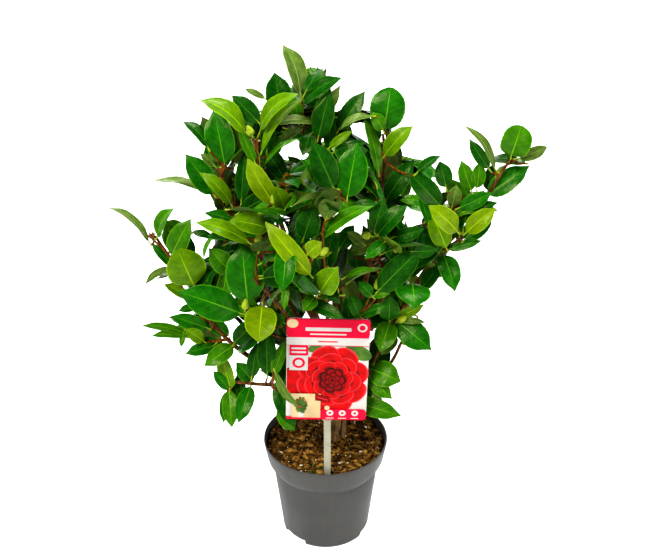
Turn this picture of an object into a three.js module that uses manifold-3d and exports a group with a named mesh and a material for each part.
// A young camellia shrub in bud, in a round plastic nursery pot, with a picture label on a stick.
// Millimetres, +Z up. The origin is the centre of the pot's flat underside, and the label faces -Y.
import * as THREE from "three";
import { mergeVertices } from "three/addons/utils/BufferGeometryUtils.js";
import Module from "manifold-3d";

const wasm = await Module();
wasm.setup();

// ---------------------------------------------------------------- driving dimensions

const GAP = 0.4; // clearance between solids that meet
const MERGE_TOLERANCE = 1e-4; // corners closer than this are one corner

const POT = {
  height: 132,
  rimRadius: 75, // outside, at the very top
  rimRound: 1.2,
  collarFootRadius: 70.5, // outside, where the collar starts to turn in
  collarFootHeight: 106,
  neckRadius: 64, // outside, just under the collar
  neckHeight: 96,
  baseRadius: 53.5, // outside, at the foot
  baseRound: 3,
  wall: 1.6,
  floor: 3,
  segments: 32,
};

const NOTCH = {
  count: 3, // drainage notches through the edge of the base
  firstAzimuth: 222, // degrees from +X, towards +Y
  width: 38, // degrees
  height: 7,
  depth: 6,
};

const SOIL = { top: 124 };

const LABEL = {
  x: 2,
  y: -66, // plane of the card
  bottom: 207,
  width: 91,
  height: 134,
  corner: 5,
  cornerSegments: 4,
  thickness: 0.8,
  roll: -1.5, // degrees, clockwise seen from the front
  stickWidth: 8,
  stickThickness: 1.6,
  stickTop: 240,
  stickFoot: 103, // its point, down in the soil
  stickPoint: 8, // length of the point
  leafClearance: 1, // kept free of leaves all round, on top of the gap
};

const TRUNK = {
  path: [[9, 3, SOIL.top], [13, 4, 150], [17, 6, 182], [20, 8, 216]],
  footRadius: 5.8,
  headRadius: 4.4,
  flare: 3.2, // added at the foot
  flareHeight: 16,
  sides: 10,
  steps: 9,
};

const LIMB = { sides: 5, steps: 6 };

// Boughs: height where each leaves the trunk, the places it passes, and its radius at foot and tip.
const BOUGHS = {
  low_left: { from: 172, via: [[-50, -32, 228], [-86, -38, 236], [-104, -40, 240]], radius: [3.2, 1.8] },
  left: {
    from: 186,
    via: [[-42, -14, 234], [-92, -16, 262], [-130, -12, 305], [-150, -4, 352]],
    radius: [3.6, 1.7],
  },
  upper_left: { from: 200, via: [[-25, 5, 285], [-70, 0, 385], [-112, -5, 482]], radius: [3.6, 1.6] },
  high_left: { from: 212, via: [[-8, -6, 300], [-44, -18, 420], [-75, -24, 536]], radius: [3.6, 1.6] },
  top: { from: 214, via: [[12, 12, 300], [2, 14, 420], [-12, 10, 546]], radius: [3.8, 1.6] },
  upper_right: { from: 208, via: [[38, 14, 300], [56, 18, 400], [67, 11, 524]], radius: [3.6, 1.6] },
  right: {
    from: 196,
    via: [[54, 2, 262], [85, 0, 308], [119, 0, 374], [159, 0, 414], [176, 0, 456], [192, 0, 490]],
    radius: [3.8, 1.7],
  },
  low_right: { from: 160, via: [[44, -16, 212], [74, -28, 256], [88, -30, 292]], radius: [3, 1.6] },
  front: { from: 192, via: [[6, -22, 270], [2, -62, 345], [0, -92, 392]], radius: [3.2, 1.6] },
  front_left: { from: 202, via: [[-24, -24, 290], [-52, -58, 355], [-74, -88, 404]], radius: [3.2, 1.6] },
  front_right: { from: 204, via: [[42, -16, 300], [66, -38, 355], [82, -56, 398]], radius: [3.2, 1.6] },
  back_left: { from: 190, via: [[-18, 42, 280], [-68, 72, 345], [-102, 84, 384]], radius: [3.4, 1.6] },
  back_right: { from: 198, via: [[44, 42, 280], [74, 74, 350], [92, 86, 388]], radius: [3.4, 1.6] },
  back: { from: 206, via: [[18, 50, 285], [6, 100, 350], [-4, 124, 392]], radius: [3.4, 1.6] },
  back_top: { from: 210, via: [[16, 36, 320], [2, 62, 430], [-9, 73, 498]], radius: [3.4, 1.6] },
};

// Masses of foliage: centre, half sizes along X, Y and Z, and the tips of the leaves that stand out.
const MASSES = {
  top: { at: [-12, 10, 560], half: [27, 28, 32], tips: [[-43, 5, 625], [0, 8, 602], [38, 5, 566]] },
  high_left: { at: [-76, -25, 544], half: [38, 32, 32], tips: [[-123, -25, 574], [-50, -12, 598]] },
  outer_upper_left: {
    at: [-116, -5, 502],
    half: [26, 32, 38],
    tips: [[-146, -5, 545], [-178, 0, 470], [-145, -5, 508]],
  },
  upper_right: { at: [64, 10, 536], half: [23, 28, 34], tips: [[91, 0, 536], [38, 5, 566]] },
  centre_top: { at: [22, -45, 516], half: [38, 36, 42], tips: [] },
  centre_upper_left: { at: [-42, -58, 506], half: [40, 36, 42], tips: [] },
  left_middle: { at: [-102, -55, 460], half: [35, 34, 38], tips: [] },
  centre: { at: [-4, -104, 472], half: [44, 34, 40], tips: [] },
  right_middle: { at: [62, -50, 474], half: [36, 38, 42], tips: [] },
  right: { at: [130, -15, 446], half: [44, 34, 34], tips: [[186, -8, 456], [120, -8, 504]] },
  right_tip: { at: [198, 0, 496], half: [22, 24, 27], tips: [[231, 0, 511], [145, 0, 537], [208, 0, 532]] },
  right_low: { at: [86, -60, 408], half: [42, 36, 38], tips: [] },
  outer_right_low: { at: [134, -25, 372], half: [15, 18, 26], tips: [[137, -30, 342]] },
  left: { at: [-152, 0, 376], half: [36, 36, 37], tips: [[-203, 0, 350], [-176, 4, 436]] },
  far_left: { at: [-194, 8, 404], half: [17, 20, 22], tips: [[-238, 10, 439]] },
  left_low: { at: [-142, -20, 304], half: [36, 32, 27], tips: [[-206, -20, 304], [-136, -25, 254]] },
  centre_left: { at: [-78, -95, 416], half: [46, 34, 42], tips: [] },
  centre_low: { at: [0, -98, 402], half: [48, 34, 34], tips: [] },
  low_right: { at: [92, -30, 306], half: [28, 30, 30], tips: [[117, -35, 280]] },
  hanging_right: { at: [64, -32, 230], half: [18, 22, 34], tips: [[86, -42, 192]] },
  low_left: { at: [-70, -45, 300], half: [30, 30, 34], tips: [] },
  hanging_left: { at: [-106, -40, 228], half: [18, 22, 40], tips: [[-107, -45, 180]] },
  over_rim: { at: [-52, -34, 230], half: [15, 18, 40], tips: [[-36, -44, 178]] },
  back_top: { at: [-8, 75, 515], half: [46, 40, 42], tips: [] },
  back_upper_left: { at: [-78, 68, 466], half: [42, 40, 42], tips: [[-118, 78, 486]] },
  back_upper_right: { at: [66, 74, 468], half: [42, 40, 42], tips: [[104, 82, 488]] },
  back_left: { at: [-108, 84, 392], half: [45, 42, 40], tips: [[-158, 98, 384]] },
  back_right: { at: [100, 88, 398], half: [45, 42, 40], tips: [[150, 104, 404]] },
  back: { at: [-4, 130, 406], half: [50, 40, 42], tips: [[2, 180, 412]] },
  back_low_left: { at: [-66, 76, 298], half: [42, 36, 34], tips: [[-102, 92, 268]] },
  back_low_right: { at: [72, 74, 292], half: [40, 36, 34], tips: [[108, 92, 270]] },
  back_low: { at: [4, 108, 320], half: [38, 34, 36], tips: [[4, 146, 290]] },
};
const MASS_DETAIL = 2; // subdivisions of the icosahedron that each mass starts from
const MASS_FULLNESS = 1.14; // how far masses swell past their half sizes, into one another
const MASS_BUMPS = 14; // rounded sprays of leaves that stand out of a mass
const MASS_BUMP_HEIGHT = 0.38; // of the half size, from the deepest dent to the highest spray
const MASS_DENTS = 0.4; // share of the bumps that are dents
const MASS_BUMP_SHARPNESS = 7;
const MASS_RUFFLE = 0.12; // of the half size, from one leaf to the next
const MASS_SEED = 11; // of the first mass, one more for each that follows

const COLOURS = {
  pot: 0x5f5f5e,
  soil: 0x3a2415,
  card: 0xc8102e,
  stick: 0xe2dfd6,
  bark: 0x6a4a2c,
  leaf: 0x1f6b12,
};

// ---------------------------------------------------------------- solids, joined and cut

function solidOf(geometry) {
  const plain = geometry.clone();
  plain.deleteAttribute("normal");
  plain.deleteAttribute("uv");
  const merged = mergeVertices(plain, MERGE_TOLERANCE);
  const vertProperties = new Float32Array(merged.attributes.position.array);
  const triVerts = new Uint32Array(merged.index.array);
  return new wasm.Manifold(new wasm.Mesh({ numProp: 3, vertProperties, triVerts }));
}

function geometryOf(solid) {
  const mesh = solid.getMesh();
  const geometry = new THREE.BufferGeometry();
  geometry.setAttribute("position", new THREE.BufferAttribute(new Float32Array(mesh.vertProperties), 3));
  geometry.setIndex(new THREE.BufferAttribute(new Uint32Array(mesh.triVerts), 1));
  return geometry;
}

// The solid with each cutter taken away, and only its largest piece kept.
function cutRound(solid, cutters) {
  let left = solid;
  for (const cutter of cutters) left = left.subtract(cutter);
  const pieces = left.decompose();
  return pieces.reduce((best, piece) => (piece.volume() > best.volume() ? piece : best));
}

// ---------------------------------------------------------------- pot and soil

function lathe(profile) {
  const points = profile.map(([radius, z]) => new THREE.Vector2(radius, z));
  return new THREE.LatheGeometry(points, POT.segments).rotateX(Math.PI / 2);
}

// The pot's outline from the foot up to the rim, moved inwards by inset.
function wallOutline(inset) {
  return [
    [POT.baseRadius - inset, POT.baseRound],
    [POT.neckRadius - inset, POT.neckHeight],
    [POT.collarFootRadius - inset, POT.collarFootHeight],
    [POT.rimRadius - inset, POT.height - POT.rimRound],
  ];
}

function potShell() {
  const outside = [[0, 0], [POT.baseRadius - POT.baseRound, 0], ...wallOutline(0)];
  const lip = [[POT.rimRadius - POT.wall / 2, POT.height]];
  const inside = wallOutline(POT.wall).reverse();
  inside[inside.length - 1] = [POT.baseRadius - POT.wall, POT.floor];
  return lathe([...outside, ...lip, ...inside, [0, POT.floor]]);
}

function notchCutter(index) {
  const half = THREE.MathUtils.degToRad(NOTCH.width / 2);
  const inner = POT.baseRadius - NOTCH.depth;
  const outer = POT.baseRadius + NOTCH.depth;
  const shape = new THREE.Shape();
  shape.absarc(0, 0, outer, -half, half, false);
  shape.absarc(0, 0, inner, half, -half, true);
  const below = 1;
  const block = new THREE.ExtrudeGeometry(shape, { depth: NOTCH.height + below, bevelEnabled: false });
  const azimuth = NOTCH.firstAzimuth + (360 / NOTCH.count) * index;
  return block.translate(0, 0, -below).rotateZ(THREE.MathUtils.degToRad(azimuth));
}

function pot() {
  const cutters = Array.from({ length: NOTCH.count }, (_, index) => solidOf(notchCutter(index)));
  return cutRound(solidOf(potShell()), cutters);
}

function soil() {
  const wall = wallOutline(POT.wall + GAP);
  const slope = (SOIL.top - POT.collarFootHeight) / (POT.height - POT.collarFootHeight);
  const topRadius = THREE.MathUtils.lerp(wall[2][0], wall[3][0], slope);
  const bottom = POT.floor + GAP;
  const side = [[wall[0][0], bottom], wall[1], wall[2], [topRadius, SOIL.top]];
  return solidOf(lathe([[0, bottom], ...side, [0, SOIL.top]]));
}

// ---------------------------------------------------------------- label

// Stands the card up on its lower edge and rolls it about its middle.
function inCardPlace(geometry, y) {
  const middle = LABEL.bottom + LABEL.height / 2;
  const roll = THREE.MathUtils.degToRad(-LABEL.roll);
  return geometry.rotateX(Math.PI / 2).translate(0, 0, -middle).rotateY(roll).translate(LABEL.x, y, middle);
}

function labelCard(grow = 0) {
  const halfWidth = LABEL.width / 2 + grow;
  const low = LABEL.bottom - grow;
  const high = LABEL.bottom + LABEL.height + grow;
  const corner = LABEL.corner;
  const shape = new THREE.Shape();
  shape.absarc(halfWidth - corner, low + corner, corner, -Math.PI / 2, 0, false);
  shape.absarc(halfWidth - corner, high - corner, corner, 0, Math.PI / 2, false);
  shape.absarc(-halfWidth + corner, high - corner, corner, Math.PI / 2, Math.PI, false);
  shape.absarc(-halfWidth + corner, low + corner, corner, Math.PI, Math.PI * 1.5, false);
  const depth = LABEL.thickness + 2 * grow;
  const curveSegments = LABEL.cornerSegments;
  const plate = new THREE.ExtrudeGeometry(shape, { depth, bevelEnabled: false, curveSegments });
  return inCardPlace(plate, LABEL.y + LABEL.thickness / 2 + grow);
}

function labelStick(grow = 0) {
  const half = LABEL.stickWidth / 2 + grow;
  const shoulder = LABEL.stickFoot + LABEL.stickPoint;
  const shape = new THREE.Shape();
  shape.moveTo(0, LABEL.stickFoot - grow);
  shape.lineTo(half, shoulder);
  shape.lineTo(half, LABEL.stickTop + grow);
  shape.lineTo(-half, LABEL.stickTop + grow);
  shape.lineTo(-half, shoulder);
  const depth = LABEL.stickThickness + 2 * grow;
  const strip = new THREE.ExtrudeGeometry(shape, { depth, bevelEnabled: false });
  const front = LABEL.y + LABEL.thickness / 2 + GAP;
  strip.rotateX(Math.PI / 2).translate(LABEL.x, front + LABEL.stickThickness + grow, 0);
  return strip;
}

// ---------------------------------------------------------------- trunk and boughs

const vector = (place) => new THREE.Vector3(...place);
const curveThrough = (places) => new THREE.CatmullRomCurve3(places.map(vector), false, "centripetal");

// A round limb along a curve. radiusAt gives its radius for each share of the length.
function limb(curve, radiusAt, sides, steps) {
  const frames = curve.computeFrenetFrames(steps);
  const geometry = new THREE.CylinderGeometry(1, 1, 1, sides, steps);
  const position = geometry.attributes.position;
  for (let i = 0; i < position.count; i += 1) {
    const step = Math.round((position.getY(i) + 0.5) * steps);
    const share = step / steps;
    const place = curve.getPointAt(share);
    place.addScaledVector(frames.normals[step], position.getX(i) * radiusAt(share));
    place.addScaledVector(frames.binormals[step], -position.getZ(i) * radiusAt(share));
    position.setXYZ(i, place.x, place.y, place.z);
  }
  return geometry;
}

const trunkCurve = curveThrough(TRUNK.path);

function trunkRadius(share) {
  const height = share * trunkCurve.getLength();
  const flare = TRUNK.flare * Math.max(0, 1 - height / TRUNK.flareHeight) ** 2;
  return THREE.MathUtils.lerp(TRUNK.footRadius, TRUNK.headRadius, share) + flare;
}

// The trunk's lowest ring is cut level with the soil.
function trunk(grow = 0) {
  const geometry = limb(trunkCurve, (share) => trunkRadius(share) + grow, TRUNK.sides, TRUNK.steps);
  const position = geometry.attributes.position;
  const ringSpacing = trunkCurve.getLength() / TRUNK.steps;
  for (let i = 0; i < position.count; i += 1) {
    const inFootRing = position.getZ(i) < SOIL.top + ringSpacing / 2;
    if (inFootRing) position.setZ(i, SOIL.top + GAP - grow);
  }
  return geometry;
}

function boughCurve({ from, via }) {
  const [, , footHeight] = TRUNK.path[0];
  const [, , headHeight] = TRUNK.path[TRUNK.path.length - 1];
  const root = trunkCurve.getPoint((from - footHeight) / (headHeight - footHeight));
  return curveThrough([root.toArray(), ...via]);
}

function bough(spec, grow = 0) {
  const curve = boughCurve(spec);
  const [foot, tip] = spec.radius;
  const radiusAt = (share) => THREE.MathUtils.lerp(foot, tip, share) + grow;
  return limb(curve, radiusAt, LIMB.sides, LIMB.steps);
}

// ---------------------------------------------------------------- masses of foliage

function randomFrom(seed) {
  let state = seed;
  return () => {
    state = (state * 1664525 + 1013904223) % 4294967296;
    return state / 4294967296;
  };
}

function bumpsFrom(random) {
  return Array.from({ length: MASS_BUMPS }, () => {
    const azimuth = random() * 2 * Math.PI;
    const height = random() * 2 - 1;
    const flat = Math.sqrt(1 - height * height);
    const direction = new THREE.Vector3(flat * Math.cos(azimuth), flat * Math.sin(azimuth), height);
    return { direction, height: (random() - MASS_DENTS) * MASS_BUMP_HEIGHT };
  });
}

// Distance from the centre to the surface of a mass's plain ellipsoid, towards direction.
function plainReach({ half }, { x, y, z }) {
  const [halfX, halfY, halfZ] = half;
  return MASS_FULLNESS / Math.hypot(x / halfX, y / halfY, z / halfZ);
}

// The same with sprays and single leaves standing out of it.
function unevenReach(mass, direction, bumps, random) {
  const swell = bumps.reduce((sum, bump) => {
    const facing = Math.max(0, direction.dot(bump.direction));
    return sum + bump.height * facing ** MASS_BUMP_SHARPNESS;
  }, 1);
  return plainReach(mass, direction) * (swell + (random() - 0.5) * MASS_RUFFLE);
}

// The planes that part a mass from its neighbours, each by direction and distance from its centre.
function partingPlanes(name) {
  const mass = MASSES[name];
  const neighbours = Object.keys(MASSES).filter((key) => key !== name);
  return neighbours.map((key) => {
    const direction = vector(MASSES[key].at).sub(vector(mass.at));
    const apart = direction.length();
    direction.normalize();
    const ownReach = plainReach(mass, direction);
    const neighbourReach = plainReach(MASSES[key], direction);
    return { direction, distance: (apart * ownReach) / (ownReach + neighbourReach) - GAP / 2 };
  });
}

// Pulls the corner that faces each standing leaf tip out to it.
function reachTips(mass, directions, places) {
  for (const tip of mass.tips) {
    const offset = vector(tip).sub(vector(mass.at));
    const towards = offset.clone().normalize();
    const facings = directions.map((direction) => direction.dot(towards));
    places[facings.indexOf(Math.max(...facings))] = offset;
  }
}

function foliage(name, seed) {
  const mass = MASSES[name];
  const random = randomFrom(seed);
  const bumps = bumpsFrom(random);
  const ball = new THREE.IcosahedronGeometry(1, MASS_DETAIL);
  ball.deleteAttribute("normal");
  ball.deleteAttribute("uv");
  const geometry = mergeVertices(ball, MERGE_TOLERANCE);
  const position = geometry.attributes.position;
  const corners = Array.from({ length: position.count }, (_, i) => i);
  const directions = corners.map((i) => new THREE.Vector3().fromBufferAttribute(position, i));
  const places = directions.map((direction) => {
    const reach = unevenReach(mass, direction, bumps, random);
    return direction.clone().multiplyScalar(reach);
  });
  reachTips(mass, directions, places);
  const planes = partingPlanes(name);
  places.forEach((place, i) => {
    for (const plane of planes) {
      const beyond = place.dot(plane.direction);
      if (beyond > plane.distance) place.multiplyScalar(plane.distance / beyond);
    }
    position.setXYZ(i, ...place.add(vector(mass.at)).toArray());
  });
  return geometry;
}

// ---------------------------------------------------------------- assembly

const shrub = new THREE.Group();

function add(name, geometry, color, roughness = 0.7) {
  const material = new THREE.MeshStandardMaterial({ color, roughness, metalness: 0 });
  const mesh = new THREE.Mesh(geometry, material);
  mesh.name = name;
  shrub.add(mesh);
}

add("pot", geometryOf(pot()), COLOURS.pot, 0.45);
add("soil", geometryOf(cutRound(soil(), [solidOf(labelStick(GAP))])), COLOURS.soil, 0.95);
add("label_card", labelCard(), COLOURS.card, 0.35);
add("label_stick", labelStick(), COLOURS.stick, 0.4);
add("trunk", trunk(), COLOURS.bark, 0.85);

const limbCutters = [solidOf(trunk(GAP))];
for (const [name, spec] of Object.entries(BOUGHS)) {
  add(`bough_${name}`, geometryOf(cutRound(solidOf(bough(spec)), limbCutters)), COLOURS.bark, 0.8);
  limbCutters.push(solidOf(bough(spec, GAP)));
}

const labelRoom = GAP + LABEL.leafClearance;
const massCutters = [...limbCutters, solidOf(labelCard(labelRoom)), solidOf(labelStick(labelRoom))];
Object.keys(MASSES).forEach((name, index) => {
  const solid = cutRound(solidOf(foliage(name, MASS_SEED + index)), massCutters);
  add(`foliage_${name}`, geometryOf(solid), COLOURS.leaf, 0.5);
});

export default shrub;
